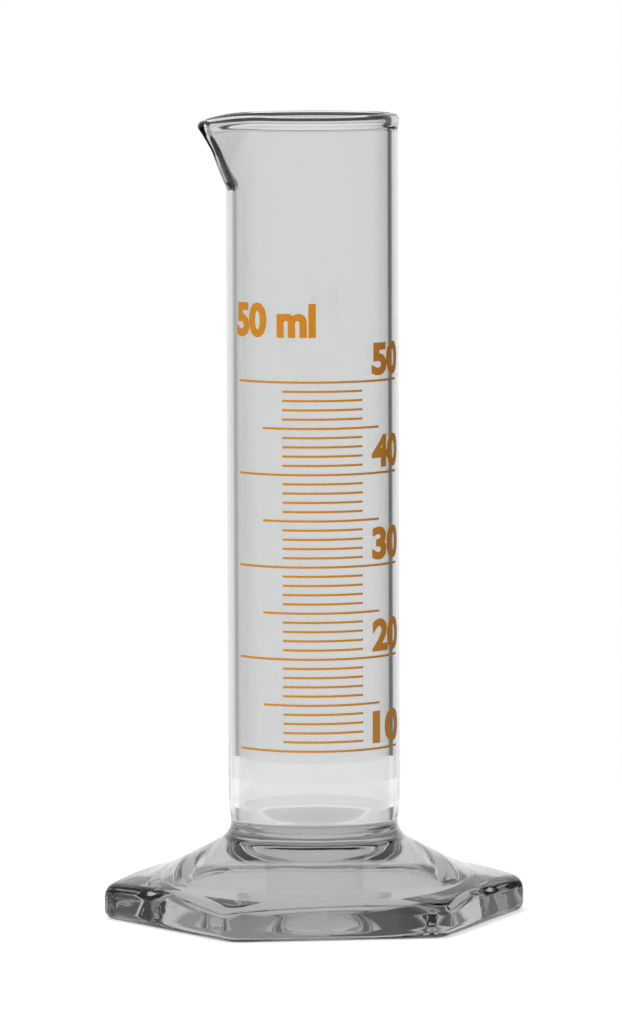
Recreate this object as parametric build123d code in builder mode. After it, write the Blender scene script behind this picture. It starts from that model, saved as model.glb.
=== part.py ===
from build123d import *
from math import acos, asin, cos, pi, radians, sin, sqrt, tan
import os

# A 50 ml low form graduated cylinder: a glass tube with a pouring lip, fused into a pressed hexagonal
# glass foot, with a scale of fired amber enamel. Millimetres, +Z up. The origin is the centre of the
# foot on the table, the lip points along -X and the scale faces -Y.

# Tube
bore_diameter = 27.63
wall = 1.785
floor_thickness = 2.5
bore_corner_radius = 3.0  # round between the wall and the floor, inside
heel_height = 3.0  # stretch above the seal where the softened tube draws in
heel_inset = 0.4  # how far it draws in
headroom = 47.75  # from the highest mark to the top of the rim

# Rim and pouring lip
bead_proud = 0.26  # how far the fire-polished rim stands out from both faces of the wall
lip_length = 13.2  # from the lip's root up to the rim
lip_reach = 4.95  # how far the lip stands out from the tube at the rim
lip_nose_radius = 4.5  # plan radius of the nose at the rim, outside
lip_root_angle = 28.0  # half the lip's width at its root, in degrees round the tube
lip_root_nose_angle = 11.0  # half the nose's width there
lip_growth = 0.88  # power of the height that the reach follows, below 1 for a lip that bends at its root
lip_dip = 1.4  # how far the rim drops towards the nose

# Pressed foot
across_flats = 67.9
plan_corner_radius = 4.5
flange_width = 4.75  # from the flats in to the dome
flange_thickness = 7.9  # where the dome rises from it
flange_slope = 10.0  # degrees, falling outwards
dome_blend_radius = 2.0  # between flange and dome
dome_sag = 0.15  # how far the dome's flank lies below a straight line
shoulder_overhang = 1.1  # how far the top of the dome stands out from the tube
top_edge_radius = 2.6
bottom_edge_radius = 1.8
hollow_depth = 11.0  # concave underside, at its middle
hollow_rim_width = 7.95  # flat ring round it that the foot stands on, at the flats
hollow_fullness = 3.0  # power of the distance from the axis that its depth falls off with
hollow_edge_radius = 0.8
seat_thickness = 1.4  # glass between the hollow and the tube
dish_depth = 2.0  # how deep the tube sits in the top of the dome

# Glass melted into the corner between the tube and the dome
seal_height = 3.6
seal_waist = 0.45  # how far its outside lies inside a straight line

# Scale
capacity_ml = 50
first_mark_ml = 10
middle_mark_ml = 5  # every fifth mark is longer
long_mark_ml = 10  # and every tenth one longest
mark_width = 0.4
enamel_thickness = 0.06
short_mark_angle = 55.4  # degrees round the tube
middle_mark_angle = 84.6
long_mark_angle = 129.0

# Heights and radii that follow
bore_radius = bore_diameter / 2
tube_radius = bore_radius + wall
bead_radius = wall / 2 + bead_proud
seat_height = hollow_depth + seat_thickness
floor_height = seat_height + floor_thickness
shoulder_height = seat_height + dish_depth
seal_top = shoulder_height + seal_height
shoulder_radius = tube_radius + shoulder_overhang
dome_radius = across_flats / 2 - flange_width
hollow_radius = across_flats / 2 - hollow_rim_width

# Glass that the rounded corner takes from the bore: the area between a square corner and its arc,
# carried round the axis at the distance of its centroid
corner_area = (1 - pi / 4) * bore_corner_radius**2
corner_centroid = bore_corner_radius * (10 - 3 * pi) / (12 - 3 * pi)
corner_volume = 2 * pi * (bore_radius - corner_centroid) * corner_area


def mark_height(volume_ml):
    """Height of the liquid's surface when the bore holds this volume, at 1000 cubic mm to the ml."""
    return floor_height + (volume_ml * 1000 + corner_volume) / (pi * bore_radius**2)


rim_top = mark_height(capacity_ml) + headroom
bead_centre = rim_top - bead_radius
lip_root = rim_top - lip_length

# Outside of the tube at its foot: a slow arc draws it in above the seal, down to a waist, and a
# tighter arc carries it on from there to the flat bottom
heel_radius = (heel_height**2 + heel_inset**2) / (2 * heel_inset)
heel_angle = asin(heel_height / heel_radius)
corner_radius = (seal_top - seat_height) / (1 - sin(heel_angle))
corner_centre_x = tube_radius - heel_inset - corner_radius * cos(heel_angle)


def corner_point(height):
    """Point of the tube's rounded bottom corner, at this height."""
    below_centre = seat_height + corner_radius - height
    return (corner_centre_x + sqrt(corner_radius**2 - below_centre**2), height)


def circle_point(radius, angle):
    """Point of a level circle about the tube's axis, at this angle from +X in degrees."""
    return (radius * cos(radians(angle)), radius * sin(radians(angle)))


# Angle round the tube, from the lip's middle, at which the lip's flanks leave the tube at the rim
rim_touch_angle = acos(1 - lip_reach / (lip_reach + tube_radius - lip_nose_radius))


def root_outline(inset):
    """The tube's circle at the lip's root, as four edges that match the outlines above it."""
    half, nose = lip_root_angle, lip_root_nose_angle
    turns = [180 - half, 180 - nose, 180 + nose, 180 + half, 540 - half]
    level = Plane.XY.offset(lip_root)
    return Wire([Edge.make_circle(tube_radius - inset, level, *turn) for turn in zip(turns, turns[1:])])


def lip_outline(share, inset):
    """Plan of the tube part way up the lip, where share is 0 at its root and 1 at the rim.

    It is the tube's own circle, two straight flanks and a nose arc. The flanks touch both arcs at
    the touch angle, which widens upwards. The inset outline is parallel to the outer one.
    """
    bulge = lip_reach * share**lip_growth
    touch = radians(lip_root_angle) * (1 - share) + rim_touch_angle * share
    nose_radius = tube_radius - bulge * cos(touch) / (1 - cos(touch))
    nose_x = nose_radius - tube_radius - bulge
    big = tube_radius - inset
    small = nose_radius - inset
    big_end = (-big * cos(touch), big * sin(touch))
    small_end = (nose_x - small * cos(touch), small * sin(touch))
    with BuildLine(Plane.XY.offset(lip_root + lip_length * share)) as outline:
        Line(big_end, small_end)
        ThreePointArc(small_end, (nose_x - small, 0), (small_end[0], -small_end[1]))
        Line((small_end[0], -small_end[1]), (big_end[0], -big_end[1]))
        ThreePointArc((big_end[0], -big_end[1]), (big, 0), big_end)
    return outline.wire()


def lip_form(inset):
    """Solid inside the lip's outlines, from its root up to the rim."""
    return Solid.make_loft([root_outline(inset)] + [lip_outline(share, inset) for share in (1 / 3, 2 / 3, 1)])


# The rim is level round the tube and drops towards the nose along one arc. A sheet of that form cuts
# the wall, and the bead follows the middle of the wall on it.
dip_start = (-tube_radius * cos(rim_touch_angle), bead_centre)
dip_end = (-tube_radius - lip_reach, bead_centre - lip_dip)

with BuildLine(Plane.XZ) as rim_line:
    Line((2 * tube_radius, bead_centre), dip_start)
    dip = TangentArc(dip_start, dip_end, tangent=(-1, 0))
    Line(dip @ 1, dip @ 1 + (dip % 1) * 2 * bead_radius)

rim_sheet = Shell.extrude(rim_line.wire(), (0, 4 * tube_radius, 0)).moved(Location((0, -2 * tube_radius, 0)))
wall_middle = lip_outline(1, wall / 2).project_to_shape(rim_sheet, (0, 0, -1))[0]

with BuildPart() as lip:
    add(lip_form(0))
    add(lip_form(wall), mode=Mode.SUBTRACT)
    split(bisect_by=rim_sheet, keep=Keep.BOTTOM)

# Tube: flat bottom rounded inside and out, plain wall, lip and rim bead, all one piece of glass
with BuildPart() as tube:
    with BuildSketch(Plane.XZ):
        with BuildLine():
            corner_start = (corner_centre_x, seat_height)
            heel_top = (tube_radius, seal_top + heel_height)
            bore_corner_top = (bore_radius, floor_height + bore_corner_radius)
            bore_corner_end = (bore_radius - bore_corner_radius, floor_height)
            Line((0, seat_height), corner_start)
            TangentArc(corner_start, corner_point(seal_top), tangent=(1, 0))
            TangentArc(heel_top, corner_point(seal_top), tangent=(0, -1))
            Polyline(heel_top, (tube_radius, lip_root), (bore_radius, lip_root), bore_corner_top)
            TangentArc(bore_corner_top, bore_corner_end, tangent=(0, -1))
            Polyline(bore_corner_end, (0, floor_height), (0, seat_height))
        make_face()
    revolve(axis=Axis.Z)
    add(lip.part)
    with BuildLine():
        add(wall_middle)
    with BuildSketch(Plane(wall_middle @ 0, z_dir=wall_middle % 0)):
        Circle(bead_radius)
    sweep()


def hollow_point(share):
    """Point of the hollow's profile, where share is 0 on the axis and 1 at the hollow's edge."""
    return (hollow_radius * share, hollow_depth * (1 - share**hollow_fullness))


# Foot: a hexagon with rounded corners under a dome with a sloping flange, concave underneath, with a
# dish on top that the tube's bottom fits
with BuildPart() as foot:
    with BuildSketch() as plan:
        RegularPolygon(across_flats / 2, 6, major_radius=False)
        fillet(plan.vertices(), plan_corner_radius)
    extrude(amount=shoulder_height)
    with BuildSketch(Plane.XZ) as dome:
        with BuildLine():
            flange_fall = (across_flats - dome_radius) * tan(radians(flange_slope))
            flange_end = (across_flats, flange_thickness - flange_fall)
            dome_foot = (dome_radius, flange_thickness)
            shoulder = (shoulder_radius, shoulder_height)
            hollow_edge = (hollow_radius, 0)
            hollow_way = (hollow_radius, -hollow_fullness * hollow_depth)
            hollow_points = [hollow_point(share) for share in (0, 0.3, 0.5, 0.7, 0.85, 1)]
            Spline(hollow_points, tangents=[(1, 0), hollow_way])
            Polyline(hollow_edge, (across_flats, 0), flange_end, dome_foot)
            SagittaArc(dome_foot, shoulder, dome_sag)
            Polyline(shoulder, (0, shoulder_height), (0, hollow_depth))
        make_face()
        for corner, radius in ((dome_foot, dome_blend_radius), (hollow_edge, hollow_edge_radius)):
            fillet(dome.vertices().sort_by_distance(corner)[0], radius)
    revolve(axis=Axis.Z, mode=Mode.INTERSECT)
    upper_edges = foot.edges().filter_by(GeomType.HYPERBOLA) + foot.edges().filter_by(GeomType.BSPLINE)
    fillet(upper_edges, top_edge_radius)
    fillet(foot.faces().filter_by(Plane.XY).sort_by(Axis.Z)[0].outer_wire().edges(), bottom_edge_radius)
    add(tube.part, mode=Mode.SUBTRACT)

# Seal: the ring of melted glass, on the dome's shoulder and against the tube's rounded corner
with BuildPart() as neck_seal:
    with BuildSketch(Plane.XZ):
        with BuildLine():
            lower_inside = corner_point(shoulder_height)
            upper = corner_point(seal_top)
            Line(lower_inside, (shoulder_radius, shoulder_height))
            SagittaArc((shoulder_radius, shoulder_height), upper, seal_waist)
            ThreePointArc(upper, corner_point((shoulder_height + seal_top) / 2), lower_inside)
        make_face()
    revolve(axis=Axis.Z)


def graduation(volume_ml):
    """One line of the scale: a thin arc of enamel on the tube, with its middle towards -Y."""
    angle = short_mark_angle
    if volume_ml % middle_mark_ml == 0:
        angle = middle_mark_angle
    if volume_ml % long_mark_ml == 0:
        angle = long_mark_angle
    outwards = circle_point(1, -90 - angle / 2)
    with BuildPart() as mark:
        with BuildSketch(Plane((0, 0, 0), x_dir=outwards, z_dir=(outwards[1], -outwards[0], 0))):
            with Locations((tube_radius + enamel_thickness / 2, mark_height(volume_ml))):
                Rectangle(enamel_thickness, mark_width)
        revolve(axis=Axis.Z, revolution_arc=angle)
    return mark


pieces = {"tube": tube, "foot": foot, "neck_seal": neck_seal}
for volume_ml in range(first_mark_ml, capacity_ml + 1):
    pieces[f"graduation_{volume_ml}_ml"] = graduation(volume_ml)

os.makedirs("parts", exist_ok=True)
for name, piece in pieces.items():
    piece.part.label = name
    export_step(piece.part, f"parts/{name}.step")
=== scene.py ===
import bmesh
import bpy
import numpy as np
from mathutils import Matrix, Vector


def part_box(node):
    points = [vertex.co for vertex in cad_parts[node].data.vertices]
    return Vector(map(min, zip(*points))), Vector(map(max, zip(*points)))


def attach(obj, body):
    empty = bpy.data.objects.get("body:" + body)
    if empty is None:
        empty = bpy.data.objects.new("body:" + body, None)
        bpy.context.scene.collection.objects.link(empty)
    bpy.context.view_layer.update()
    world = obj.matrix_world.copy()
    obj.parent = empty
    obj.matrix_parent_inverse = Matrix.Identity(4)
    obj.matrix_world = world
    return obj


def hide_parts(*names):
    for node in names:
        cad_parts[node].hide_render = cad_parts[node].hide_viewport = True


# A 50 ml low form graduated cylinder of clear glass with an amber enamel scale, on a pale table.
# Sizes are in millimetres, as in the part's source, and become metres as a mesh or a lamp is made.
# +Z is up, the pouring lip points along -X and the scale faces -Y.

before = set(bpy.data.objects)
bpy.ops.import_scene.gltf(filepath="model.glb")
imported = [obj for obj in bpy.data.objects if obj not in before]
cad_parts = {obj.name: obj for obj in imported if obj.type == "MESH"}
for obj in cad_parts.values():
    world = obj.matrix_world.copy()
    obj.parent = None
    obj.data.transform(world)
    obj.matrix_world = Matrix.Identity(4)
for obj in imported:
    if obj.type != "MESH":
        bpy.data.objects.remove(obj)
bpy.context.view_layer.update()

# Tube
bore_radius = 13.815
wall = 1.785
tube_radius = bore_radius + wall
floor_height = 14.9
bore_corner_radius = 3.0
rim_top = 146.307
bead_proud = 0.26
bead_radius = wall / 2 + bead_proud
bead_centre = rim_top - bead_radius
lip_length = 13.2
lip_root = rim_top - lip_length
lip_reach = 4.95
lip_nose_radius = 4.5
lip_root_angle = np.radians(28.0)
lip_growth = 0.88
lip_dip = 1.4
lip_blend = 5.0  # stretch below the bead in which the lip takes up the rim's dip
bead_fade = 0.95  # height in which the bead runs out into the wall
rim_touch_angle = np.arccos(1 - lip_reach / (lip_reach + tube_radius - lip_nose_radius))

# Foot and seal
flat_radius = 33.95
corner_radius = 4.5
flange_height = 7.9
flange_fall = np.tan(np.radians(10.0))
dome_radius = 29.2
dome_sag = 0.15
shoulder_radius = 16.7
shoulder_height = 14.4
seal_top = 18.0
seal_top_radius = 15.2
seal_waist = 0.45
heel_top = 21.0
top_edge_radius = 2.6
bottom_edge_radius = 1.8
hollow_depth = 11.0
hollow_radius = 26.0
hollow_fullness = 3.0
hollow_margin = 0.3  # from the hollow's edge to the first flat row
dome_margin = 0.5  # from the dome's foot to the last row of the flange
heel_sag = 0.1
press_top = 14.0  # up to here the pressed glass keeps its full waves

# Enamel and print
enamel_sink = 0.02  # how far the letters reach into the glass
enamel_layer = 0.08
letter_cut = 0.5  # width of the strips that bend round the tube
letter_weight = 0.045
numeral_size = (6.0, 8.8)  # height and width
numeral_azimuth = 52.0
numeral_gap = 0.9
label_size = (6.3, 17.0)
label_azimuth = -36.0
label_bottom = 106.5


def ease(t):
    """Smooth step from 0 to 1 as t goes from 0 to 1: three t squared less two t cubed."""
    t = np.clip(t, 0, 1)
    return t * t * (3 - 2 * t)


def add_piece(name, points, faces, material, body="root"):
    """Mesh object at the origin from points in millimetres, shaded smooth, riding on a body."""
    mesh = bpy.data.meshes.new(name)
    mesh.from_pydata((np.asarray(points, float) / 1000).tolist(), [], faces)
    mesh.polygons.foreach_set("use_smooth", np.ones(len(mesh.polygons), bool))
    mesh.materials.append(material)
    piece = bpy.data.objects.new(name, mesh)
    bpy.context.scene.collection.objects.link(piece)
    if body:
        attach(piece, body)
    return piece


def linear(hex_colour):
    """Linear RGBA of an sRGB hex colour."""
    srgb = [int(hex_colour[i : i + 2], 16) / 255 for i in (1, 3, 5)]
    return [c / 12.92 if c <= 0.04045 else ((c + 0.055) / 1.055) ** 2.4 for c in srgb] + [1.0]


def add_node(tree, kind, links=(), **settings):
    """Adds a node, sets its properties or inputs by name, and links (output, input) pairs into it."""
    node = tree.nodes.new(kind)
    for key, value in settings.items():
        if hasattr(node, key):
            setattr(node, key, value)
        else:
            node.inputs[key.replace("_", " ")].default_value = value
    for output, socket in links:
        tree.links.new(output, node.inputs[socket])
    return node


def new_material(name):
    """Empty node material, with its output node."""
    material = bpy.data.materials.new(name)
    material.use_nodes = True
    material.node_tree.nodes.clear()
    return material, material.node_tree, material.node_tree.nodes.new("ShaderNodeOutputMaterial")


def soda_lime_glass():
    """Drawn and pressed soda-lime glass, fire polished: clear with a faint grey cast that deepens
    where the glass is thick, and a surface that is a little wavy, most of all on the pressed foot."""
    material, tree, out = new_material("soda_lime_glass")
    place = add_node(tree, "ShaderNodeTexCoord").outputs["Object"]
    # Waves of the pressed foot, about 9 mm long, fade out above the seal
    waves = add_node(tree, "ShaderNodeTexNoise", [(place, "Vector")], Scale=110.0, Detail=2.0)
    height = add_node(tree, "ShaderNodeSeparateXYZ", [(place, "Vector")])
    pressed = add_node(
        tree, "ShaderNodeMapRange", [(height.outputs["Z"], "Value")],
        From_Min=heel_top / 1000, From_Max=press_top / 1000, To_Min=0.0, To_Max=1.0,
    )
    relief = add_node(
        tree, "ShaderNodeMath", [(pressed.outputs[0], 0), (waves.outputs["Fac"], 1)], operation="MULTIPLY"
    )
    # Draw lines of the tube run along it, about 3 mm apart
    stretch = add_node(tree, "ShaderNodeMapping", [(place, "Vector")], Scale=(1.0, 1.0, 0.03))
    draw = add_node(tree, "ShaderNodeTexNoise", [(stretch.outputs[0], "Vector")], Scale=330.0, Detail=1.0)
    wavy = add_node(tree, "ShaderNodeBump", [(relief.outputs[0], "Height")], Strength=1.0, Distance=0.0001)
    drawn = add_node(
        tree, "ShaderNodeBump", [(draw.outputs["Fac"], "Height"), (wavy.outputs[0], "Normal")],
        Strength=1.0, Distance=0.000006,
    )
    glass = add_node(
        tree, "ShaderNodeBsdfPrincipled", [(drawn.outputs[0], "Normal")],
        Roughness=0.0, IOR=1.48, Transmission_Weight=1.0, Base_Color=(0.838, 0.848, 0.843, 1.0),
    )
    cast = add_node(tree, "ShaderNodeVolumeAbsorption", Color=(0.80, 0.803, 0.80, 1.0), Density=80.0)
    tree.links.new(glass.outputs[0], out.inputs["Surface"])
    tree.links.new(cast.outputs[0], out.inputs["Volume"])
    return material


def fired_enamel():
    """Amber enamel, screen printed and fired on: opaque and satin, slightly uneven in thickness."""
    material, tree, out = new_material("fired_amber_enamel")
    place = add_node(tree, "ShaderNodeTexCoord").outputs["Object"]
    grain = add_node(tree, "ShaderNodeTexNoise", [(place, "Vector")], Scale=2500.0, Detail=2.0)
    colour = add_node(tree, "ShaderNodeMix", [(grain.outputs["Fac"], "Factor")], data_type="RGBA")
    colour.inputs["A"].default_value = linear("#B06C00")
    colour.inputs["B"].default_value = linear("#C88204")
    bump = add_node(
        tree, "ShaderNodeBump", [(grain.outputs["Fac"], "Height")], Strength=0.3, Distance=0.00002
    )
    enamel = add_node(
        tree, "ShaderNodeBsdfPrincipled", [(bump.outputs[0], "Normal")], Roughness=0.35, IOR=1.5
    )
    tree.links.new(colour.outputs["Result"], enamel.inputs["Base Color"])
    tree.links.new(enamel.outputs[0], out.inputs["Surface"])
    return material


# Columns of the glass mesh. Each sixth of a turn is centred on a corner of the foot, and has more
# columns there, where the outline turns, than on the flats.
arc_turn = np.linspace(-np.pi / 6, np.pi / 6, 25)
corner_centre = (flat_radius - corner_radius) / np.cos(np.pi / 6)
flat_half = corner_centre / 2
flat_steps = flat_half * (1 - np.linspace(0, 1, 29)[1:-1])


def foot_outline():
    """Plan of the hexagonal foot: its points, and the unit normals there.

    A corner is an arc about its centre, and a flat is a straight run of points at the distance
    flat_radius from the axis, along the flat's normal.
    """
    arc = np.stack([corner_centre + corner_radius * np.cos(arc_turn), corner_radius * np.sin(arc_turn)], 1)
    arc_normal = np.stack([np.cos(arc_turn), np.sin(arc_turn)], 1)
    normal = np.array([np.cos(np.pi / 6), np.sin(np.pi / 6)])
    along = np.array([-normal[1], normal[0]])
    run = np.concatenate([-flat_steps, [0.0], flat_steps[::-1]])
    flat = flat_radius * normal + run[:, None] * along
    points = np.concatenate([arc, flat])
    normals = np.concatenate([arc_normal, np.tile(normal, (len(flat), 1))])
    turns = np.arange(6) * np.pi / 3
    spin = np.array([[np.cos(turns), -np.sin(turns)], [np.sin(turns), np.cos(turns)]])
    return [np.einsum("ijk,nj->kni", spin, values).reshape(-1, 2) for values in (points, normals)]


outline, outline_normal = foot_outline()
theta = np.arctan2(outline[:, 1], outline[:, 0])
ray = np.stack([np.cos(theta), np.sin(theta)], 1)
columns = len(theta)


def ring(radius, height):
    """One round row of the mesh: a level circle."""
    return np.column_stack([radius * ray, np.full(columns, height)])


def rings(profile):
    """Round rows, one for each (radius, height) of a profile."""
    return [ring(radius, height) for radius, height in profile]


def cone_height(radius):
    """Height of the flange's top: a cone that falls outwards from the dome."""
    return flange_height - flange_fall * (radius - dome_radius)


def foot_rows():
    """Rows of the foot from the hollow's edge to the dome's, in order.

    The bottom edge is a quarter circle drawn inwards along the outline's normal. The top edge is an
    arc that touches the side and the flange's slope along that normal. Between the rows at the
    outline and the round rows, points move in a straight line in plan.
    """
    rows = []
    start = (hollow_radius + hollow_margin) * ray
    end = outline - bottom_edge_radius * outline_normal
    rows += [np.column_stack([start + (end - start) * t, np.zeros(columns)]) for t in (0.0, 0.03, 0.5)]
    for turn in np.radians(np.linspace(90, 0, 9)):
        inset = bottom_edge_radius * (1 - np.cos(turn))
        height = bottom_edge_radius * (1 - np.sin(turn))
        rows.append(np.column_stack([outline - inset * outline_normal, np.full(columns, height)]))
    slope = flange_fall * (outline_normal * ray).sum(1)
    tilt = np.arctan(slope)
    seat = outline - top_edge_radius * outline_normal
    centre = cone_height(np.linalg.norm(seat, axis=1)) - top_edge_radius * np.sqrt(1 + slope**2)
    for share in np.linspace(0, 1, 12):
        turn = share * (np.pi / 2 - tilt)
        inset = top_edge_radius * (1 - np.cos(turn))
        plan = outline - inset[:, None] * outline_normal
        rows.append(np.column_stack([plan, centre + top_edge_radius * np.sin(turn)]))
    start = rows[-1][:, :2]
    end = (dome_radius + dome_margin) * ray
    for share in np.linspace(0, 1, 6)[1:]:
        plan = start + (end - start) * share
        rows.append(np.column_stack([plan, cone_height(np.linalg.norm(plan, axis=1))]))
    return rows


def bow(start, end, sag, steps):
    """Curve from start to end that lies sag to the right of the straight line at its middle."""
    start, end = np.array(start, float), np.array(end, float)
    share = np.linspace(0, 1, steps)[:, None]
    run = end - start
    right = np.array([run[1], -run[0]]) / np.linalg.norm(run)
    return start + run * share + right * sag * 4 * share * (1 - share)


def soften(curve, corner, reach, steps=5):
    """Rounds a profile's corner: the points within reach of it give way to a quadratic curve."""
    corner = np.array(corner, float)
    away = np.linalg.norm(curve - corner, axis=1)
    middle = int(np.argmin(away))
    before, after = curve[:middle][away[:middle] > reach], curve[middle:][away[middle:] > reach]
    a = corner + (before[-1] - corner) / np.linalg.norm(before[-1] - corner) * reach
    b = corner + (after[0] - corner) / np.linalg.norm(after[0] - corner) * reach
    t = np.linspace(0, 1, steps)[:, None]
    return np.concatenate([before, (1 - t) ** 2 * a + 2 * t * (1 - t) * corner + t**2 * b, after])


def dome_profile():
    """Profile of the dome, the seal and the tube's heel, from the flange up to the plain wall."""
    foot = (dome_radius, flange_height)
    shoulder = (shoulder_radius, shoulder_height)
    waist = (seal_top_radius, seal_top)
    lead_radius = dome_radius + dome_margin
    lead = np.array([[lead_radius, cone_height(lead_radius)]])
    flank = bow(foot, shoulder, -dome_sag, 14)
    seal = bow(shoulder, waist, -seal_waist, 10)
    heel = bow(waist, (tube_radius, heel_top), heel_sag, 9)
    curve = np.concatenate([lead, flank, seal[1:], heel[1:]])
    for corner, reach in ((foot, 0.45), (shoulder, 0.5), (waist, 0.4)):
        curve = soften(curve, corner, reach)
    return curve[1:]


def lip_middle(share):
    """Middle of the glass at each column, part way up the lip: points in plan, and unit normals.

    The plan is the tube's circle, two straight flanks that touch it, and a nose arc that they touch
    too. Each column meets it on the ray from the axis: at the circle's radius, at that radius over
    the cosine of the angle from the flank's normal, or where the ray leaves the nose's circle.
    """
    share = np.clip(share, 1e-6, 1)
    bulge = lip_reach * share**lip_growth
    touch = lip_root_angle * (1 - share) + rim_touch_angle * share
    nose = tube_radius - bulge * np.cos(touch) / (1 - np.cos(touch))
    centre = tube_radius + bulge - nose
    big, small = tube_radius - wall / 2, nose - wall / 2
    angle = np.abs(np.arctan2(outline[:, 1], -outline[:, 0]))
    side = np.where(outline[:, 1] < 0, -1.0, 1.0)
    flank_start = np.arctan2(small * np.sin(touch), centre + small * np.cos(touch))
    on_flank = big / np.cos(np.minimum(np.abs(angle - touch), 1.5))
    on_nose = centre * np.cos(angle) + np.sqrt(np.maximum(small**2 - (centre * np.sin(angle)) ** 2, 0))
    radius = np.where(angle >= touch, big, np.where(angle >= flank_start, on_flank, on_nose))
    nose_turn = np.arctan2(radius * np.sin(angle), radius * np.cos(angle) - centre)
    turn = np.where(angle >= touch, angle, np.where(angle >= flank_start, touch, nose_turn))
    return (
        np.column_stack([-radius * np.cos(angle), side * radius * np.sin(angle)]),
        np.column_stack([-np.cos(turn), side * np.sin(turn)]),
    )


def rim_line(x):
    """Height of the rim bead's centre over x: level, then an arc that drops towards the nose."""
    start = -tube_radius * np.cos(rim_touch_angle)
    run = tube_radius + lip_reach + start
    bend = (run**2 + lip_dip**2) / (2 * lip_dip)
    past = np.maximum(start - x, 0)
    return bead_centre - (bend - np.sqrt(bend**2 - past**2))


rim_plan, rim_normal = lip_middle(np.ones(columns))
rim_height = rim_line(rim_plan[:, 0])


def lip_row(below, side):
    """Row of the lip or the wall, this far below the bead's centre, outside (1) or inside (-1).

    The plan's share follows the height, and gains what the rim's dip leaves over near the bead, so
    the glass runs into it. The bead swells out of the wall like a bell curve.
    """
    height = rim_height - below
    lost = 1 - (rim_height - lip_root) / lip_length
    share = (height - lip_root) / lip_length + lost * ease(1 - below / lip_blend)
    plan, normal = lip_middle(share)
    half = wall / 2 + bead_proud * np.exp(-((below / bead_fade) ** 2))
    return np.column_stack([plan + side * half * normal, height])


def bead_rows(steps=13):
    """Top of the rim bead: half circles across the rim's own direction."""
    path = np.column_stack([rim_plan, rim_height])
    ahead = np.roll(path, -1, 0) - np.roll(path, 1, 0)
    normal = np.column_stack([rim_normal, np.zeros(columns)])
    up = np.cross(normal, ahead)
    up /= np.linalg.norm(up, axis=1)[:, None]
    up *= np.sign(up[:, 2])[:, None]
    turns = np.linspace(0, np.pi, steps)
    return [path + bead_radius * (np.cos(turn) * normal + np.sin(turn) * up) for turn in turns]


def glass_rows():
    """Every row of the glass, from the middle of the hollow out, up, over the rim and down the bore."""
    # Rings of the hollow, wider apart towards its edge, which the last one stops just short of
    shares = 1 - (1 - np.linspace(0, 0.985, 19)[1:]) ** 1.25
    rows = rings([(hollow_radius * t, hollow_depth * (1 - t**hollow_fullness)) for t in shares])
    rows += foot_rows()
    rows += rings(dome_profile())
    wall_heights = (40, 70, 100, 120)
    rows += rings([(tube_radius, height) for height in wall_heights])
    # Rows of the lip close up towards the bead
    lip_steps = np.concatenate([np.linspace(lip_length, 3.0, 15), [2.4, 1.9, 1.5, 1.15, 0.85, 0.55, 0.28]])
    rows += [lip_row(below, 1) for below in lip_steps]
    rows += bead_rows()
    rows += [lip_row(below, -1) for below in lip_steps[::-1]]
    rows += rings([(bore_radius, height) for height in wall_heights[::-1]])
    inner = bore_radius - bore_corner_radius
    for turn in np.radians(np.linspace(0, 90, 12)):
        height = floor_height + bore_corner_radius * (1 - np.sin(turn))
        rows.append(ring(inner + bore_corner_radius * np.cos(turn), height))
    rows += rings([(r, floor_height) for r in (8.0, 5.0, 2.0)])
    return rows


def glass_mesh():
    """Closed mesh of quads between the rows, with a fan of triangles at each pole."""
    rows = glass_rows()
    points = np.concatenate(rows + [[[0, 0, hollow_depth], [0, 0, floor_height]]])
    count = len(rows)
    a = np.arange(count * columns).reshape(count, columns)
    b = np.roll(a, -1, 1)
    quads = np.stack([a[:-1], b[:-1], b[1:], a[1:]], -1).reshape(-1, 4)
    first, last = count * columns, count * columns + 1
    fans = [(first, q, p) for p, q in zip(a[0].tolist(), b[0].tolist())]
    fans += [(last, p, q) for p, q in zip(a[-1].tolist(), b[-1].tolist())]
    return points, quads.tolist() + fans


glass = soda_lime_glass()
enamel = fired_enamel()

points, faces = glass_mesh()
body = add_piece("glass_body", points, faces, glass)
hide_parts("tube", "foot", "neck_seal")

# Graduation lines keep the CAD's own arcs
for name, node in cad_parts.items():
    if name.startswith("graduation"):
        for slot in node.material_slots:
            slot.material = enamel


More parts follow.
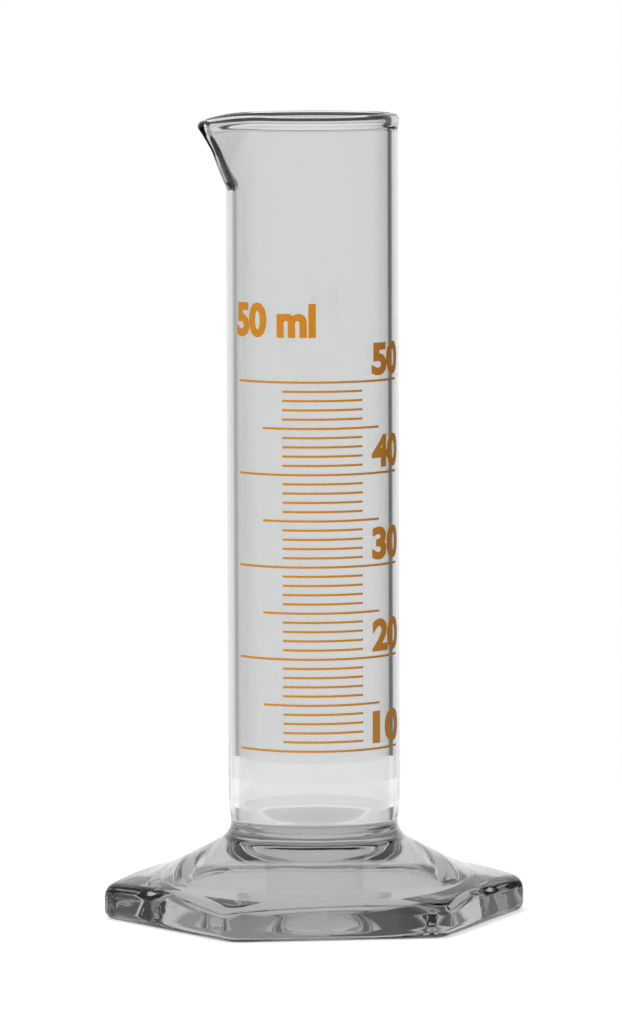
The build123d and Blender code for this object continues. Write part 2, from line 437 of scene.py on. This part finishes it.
def printed(name, text, size, azimuth, bottom):
    """Text printed round the tube: its flat letters, scaled to this height and width in mm, are laid
    on the cylinder, where the distance along the line becomes the angle round the tube."""
    height, width = size
    curve = bpy.data.curves.new(name, "FONT")
    curve.body = text
    curve.offset = letter_weight
    curve.extrude = 0.03
    curve.resolution_u = 6
    letters = bpy.data.objects.new(name, curve)
    bpy.context.scene.collection.objects.link(letters)
    bpy.context.view_layer.update()
    mesh = bpy.data.meshes.new_from_object(letters.evaluated_get(bpy.context.evaluated_depsgraph_get()))
    bpy.data.objects.remove(letters)
    # Cuts every half millimetre let the flat faces follow the tube
    sheet = bmesh.new()
    sheet.from_mesh(mesh)
    reach = [vert.co.x for vert in sheet.verts]
    for cut in np.linspace(min(reach), max(reach), int(width / letter_cut))[1:-1]:
        everything = sheet.verts[:] + sheet.edges[:] + sheet.faces[:]
        bmesh.ops.bisect_plane(sheet, geom=everything, plane_co=(cut, 0, 0), plane_no=(1, 0, 0))
    sheet.to_mesh(mesh)
    sheet.free()
    flat = np.empty(len(mesh.vertices) * 3)
    mesh.vertices.foreach_get("co", flat)
    flat = flat.reshape(-1, 3)
    low, high = flat.min(0), flat.max(0)
    spread = (flat - low) / (high - low)
    turn = np.radians(azimuth) + (spread[:, 0] - 0.5) * width / tube_radius
    radius = tube_radius - enamel_sink + enamel_layer * spread[:, 2]
    up = bottom + spread[:, 1] * height
    place = np.column_stack([radius * np.sin(turn), -radius * np.cos(turn), up])
    mesh.vertices.foreach_set("co", (place / 1000).ravel())
    mesh.materials.clear()
    mesh.materials.append(enamel)
    piece = bpy.data.objects.new(name, mesh)
    bpy.context.scene.collection.objects.link(piece)
    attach(piece, "root")
    return piece


def mark_height(volume_ml):
    """Middle height of a graduation line in mm, from its node's box."""
    low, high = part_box(f"graduation_{volume_ml}_ml")
    return 500 * (low[2] + high[2])


for volume_ml in (10, 20, 30, 40, 50):
    bottom = mark_height(volume_ml) + numeral_gap
    printed(f"numeral_{volume_ml}", str(volume_ml), numeral_size, numeral_azimuth, bottom)
printed("capacity_label", "50 ml", label_size, label_azimuth, label_bottom)

# Studio: a pale table with shade painted into its glow near the foot, and soft lamps, in a surround with a
# bright panel behind the object, a grey flag to the panel's left and a dark one to its right. Levels are
# given by distance from the axis in mm, by bearing in degrees from the way that the camera looks, and by the
# height of a direction's unit arrow.
table_radius = 200.0
table_gap = 0.02
table_sides = 96
table_glow = 0.6
# Painted shade in the table's glow, as a level by distance from the axis in mm
shade_under_foot = 0.90
table_shade = ((28, shade_under_foot), (36, 0.62), (45, 0.52), (100, 0.52), (140, 1.0))
panel_bearing = 7
room = 0.65
grey_flag = ((-78, room), (-68, 0.45), (-36, 0.45), (-29, 1.0))
dark_flag = ((29, 1.0), (36, 0.12), (68, 0.12), (78, room))


def add_levels(ramp, levels):
    """Grey stops of a colour ramp, one for each position and level."""
    for position, level in levels:
        ramp.elements.new(position).color = (level, level, level, 1)


table_top, tree, out = new_material("pale_table")
rays = add_node(tree, "ShaderNodeLightPath").outputs
place = add_node(tree, "ShaderNodeTexCoord").outputs["Object"]
away = add_node(tree, "ShaderNodeVectorMath", [(place, 0)], operation="LENGTH")
# Painted shade: seen through the glass or in it, the table's glow is darkened near the foot, in place of the
# shadow that the cylinder casts
shade = add_node(tree, "ShaderNodeValToRGB", [(away.outputs["Value"], "Fac")])
add_levels(shade.color_ramp, [(distance / 1000, level) for distance, level in table_shade])
shade.color_ramp.elements[0].color = (shade_under_foot, shade_under_foot, shade_under_foot, 1)
shade = add_node(
    tree, "ShaderNodeMath", [(shade.outputs[0], 0), (rays["Is Camera Ray"], 1)], operation="MAXIMUM"
)
seen = add_node(
    tree, "ShaderNodeMath", [(rays["Is Camera Ray"], 0), (rays["Is Glossy Ray"], 1)], operation="MAXIMUM"
)
seen = add_node(
    tree, "ShaderNodeMath", [(seen.outputs[0], 0), (rays["Is Transmission Ray"], 1)], operation="MAXIMUM"
)
seen = add_node(tree, "ShaderNodeMath", [(seen.outputs[0], 0), (shade.outputs[0], 1)], operation="MULTIPLY")
glow = add_node(tree, "ShaderNodeEmission", [(seen.outputs[0], "Strength")])
lit = add_node(tree, "ShaderNodeBsdfDiffuse", Color=linear("#FFFFFF"))
both = add_node(tree, "ShaderNodeMixShader", [(lit.outputs[0], 1), (glow.outputs[0], 2)], Fac=table_glow)
tree.links.new(both.outputs[0], out.inputs["Surface"])
turns = np.linspace(0, 2 * np.pi, table_sides + 1)[:-1]
disc = np.column_stack(
    [table_radius * np.cos(turns), table_radius * np.sin(turns), np.full(table_sides, -table_gap)]
)
table = add_piece("table", disc, [tuple(range(table_sides))], table_top, body=None)

world = bpy.data.worlds.new("studio")
bpy.context.scene.world = world
world.use_nodes = True
tree = world.node_tree
tree.nodes.clear()
out = tree.nodes.new("ShaderNodeOutputWorld")
direction = add_node(tree, "ShaderNodeTexCoord").outputs["Generated"]
axis = add_node(tree, "ShaderNodeSeparateXYZ", [(direction, "Vector")]).outputs
bearing = add_node(tree, "ShaderNodeMath", [(axis["X"], 0), (axis["Y"], 1)], operation="ARCTAN2")
share = add_node(tree, "ShaderNodeMath", [(bearing.outputs[0], 0)], operation="MULTIPLY_ADD")
share.inputs[1].default_value = float(0.5 / np.pi)
share.inputs[2].default_value = 0.5 - panel_bearing / 360
panel = add_node(tree, "ShaderNodeValToRGB", [(share.outputs[0], "Fac")])
add_levels(panel.color_ramp, [(0.5 + degrees / 360, level) for degrees, level in grey_flag + dark_flag])
for end in (0, -1):
    panel.color_ramp.elements[end].color = (room, room, room, 1)
# Below the table's edge the room is dark, which draws the rim and the lip as dark lines
low = add_node(
    tree, "ShaderNodeMapRange", [(axis["Z"], "Value")],
    From_Min=-0.22, From_Max=-0.15, To_Min=0.08, To_Max=1.0,
)
high = add_node(
    tree, "ShaderNodeMapRange", [(axis["Z"], "Value")],
    From_Min=0.1, From_Max=0.2, To_Min=1.0, To_Max=0.78,
)
level = add_node(tree, "ShaderNodeMath", [(panel.outputs[0], 0), (low.outputs[0], 1)], operation="MULTIPLY")
level = add_node(tree, "ShaderNodeMath", [(level.outputs[0], 0), (high.outputs[0], 1)], operation="MULTIPLY")
# The camera itself sees plain white
rays = add_node(tree, "ShaderNodeLightPath").outputs
level = add_node(
    tree, "ShaderNodeMath", [(level.outputs[0], 0), (rays["Is Camera Ray"], 1)], operation="MAXIMUM"
)
sky = add_node(
    tree, "ShaderNodeBackground", [(level.outputs[0], "Strength")], Color=(1.0, 1.0, 1.0, 1.0)
)
tree.links.new(sky.outputs[0], out.inputs["Surface"])


def softbox(name, place, aim, size, power):
    """Square lamp in mm at a place, turned to face a point."""
    lamp = bpy.data.lights.new(name, "AREA")
    lamp.size = size / 1000
    lamp.energy = power
    item = bpy.data.objects.new(name, lamp)
    bpy.context.scene.collection.objects.link(item)
    back = np.array(place, float) - np.array(aim, float)
    item.location = np.array(place) / 1000
    item.rotation_mode = "QUATERNION"
    item.rotation_quaternion = Vector(back).to_track_quat("Z", "Y")
    item.visible_glossy = item.visible_transmission = False


softbox("overhead", (-150, -250, 900), (0, 0, 60), 600, 9.0)
softbox("front_left", (-700, -900, 450), (0, 0, 80), 500, 6.0)

# Camera, fitted to the photograph by the scale's lines, the rim and the foot's outline
focal_length_px = 7290.35
image_height_px = 1024
camera = bpy.data.cameras.new("camera")
camera.sensor_width = 36.0
camera.lens = focal_length_px * camera.sensor_width / image_height_px
camera.clip_start, camera.clip_end = 0.05, 20.0
eye = bpy.data.objects.new("camera", camera)
bpy.context.scene.collection.objects.link(eye)
position = np.array([-160.95, -1310.8, 193.57])
pitch, yaw, roll = np.radians([5.18, -0.0175, -0.2096])
level_way = -np.array([position[0], position[1], 0]) / np.hypot(position[0], position[1])
level_right = np.array([level_way[1], -level_way[0], 0])
aim = np.cos(yaw) * level_way + np.sin(yaw) * level_right
right = np.array([aim[1], -aim[0], 0])
forward = np.cos(pitch) * aim - np.sin(pitch) * np.array([0, 0, 1.0])
up = np.cross(right, forward)
right, up = np.cos(roll) * right + np.sin(roll) * up, np.cos(roll) * up - np.sin(roll) * right
pose = np.eye(4)
pose[:3, 0], pose[:3, 1], pose[:3, 2], pose[:3, 3] = right, up, -forward, position / 1000
eye.matrix_world = Matrix(pose.tolist())
bpy.context.scene.camera = eye

bpy.context.scene.view_settings.view_transform = "Standard"
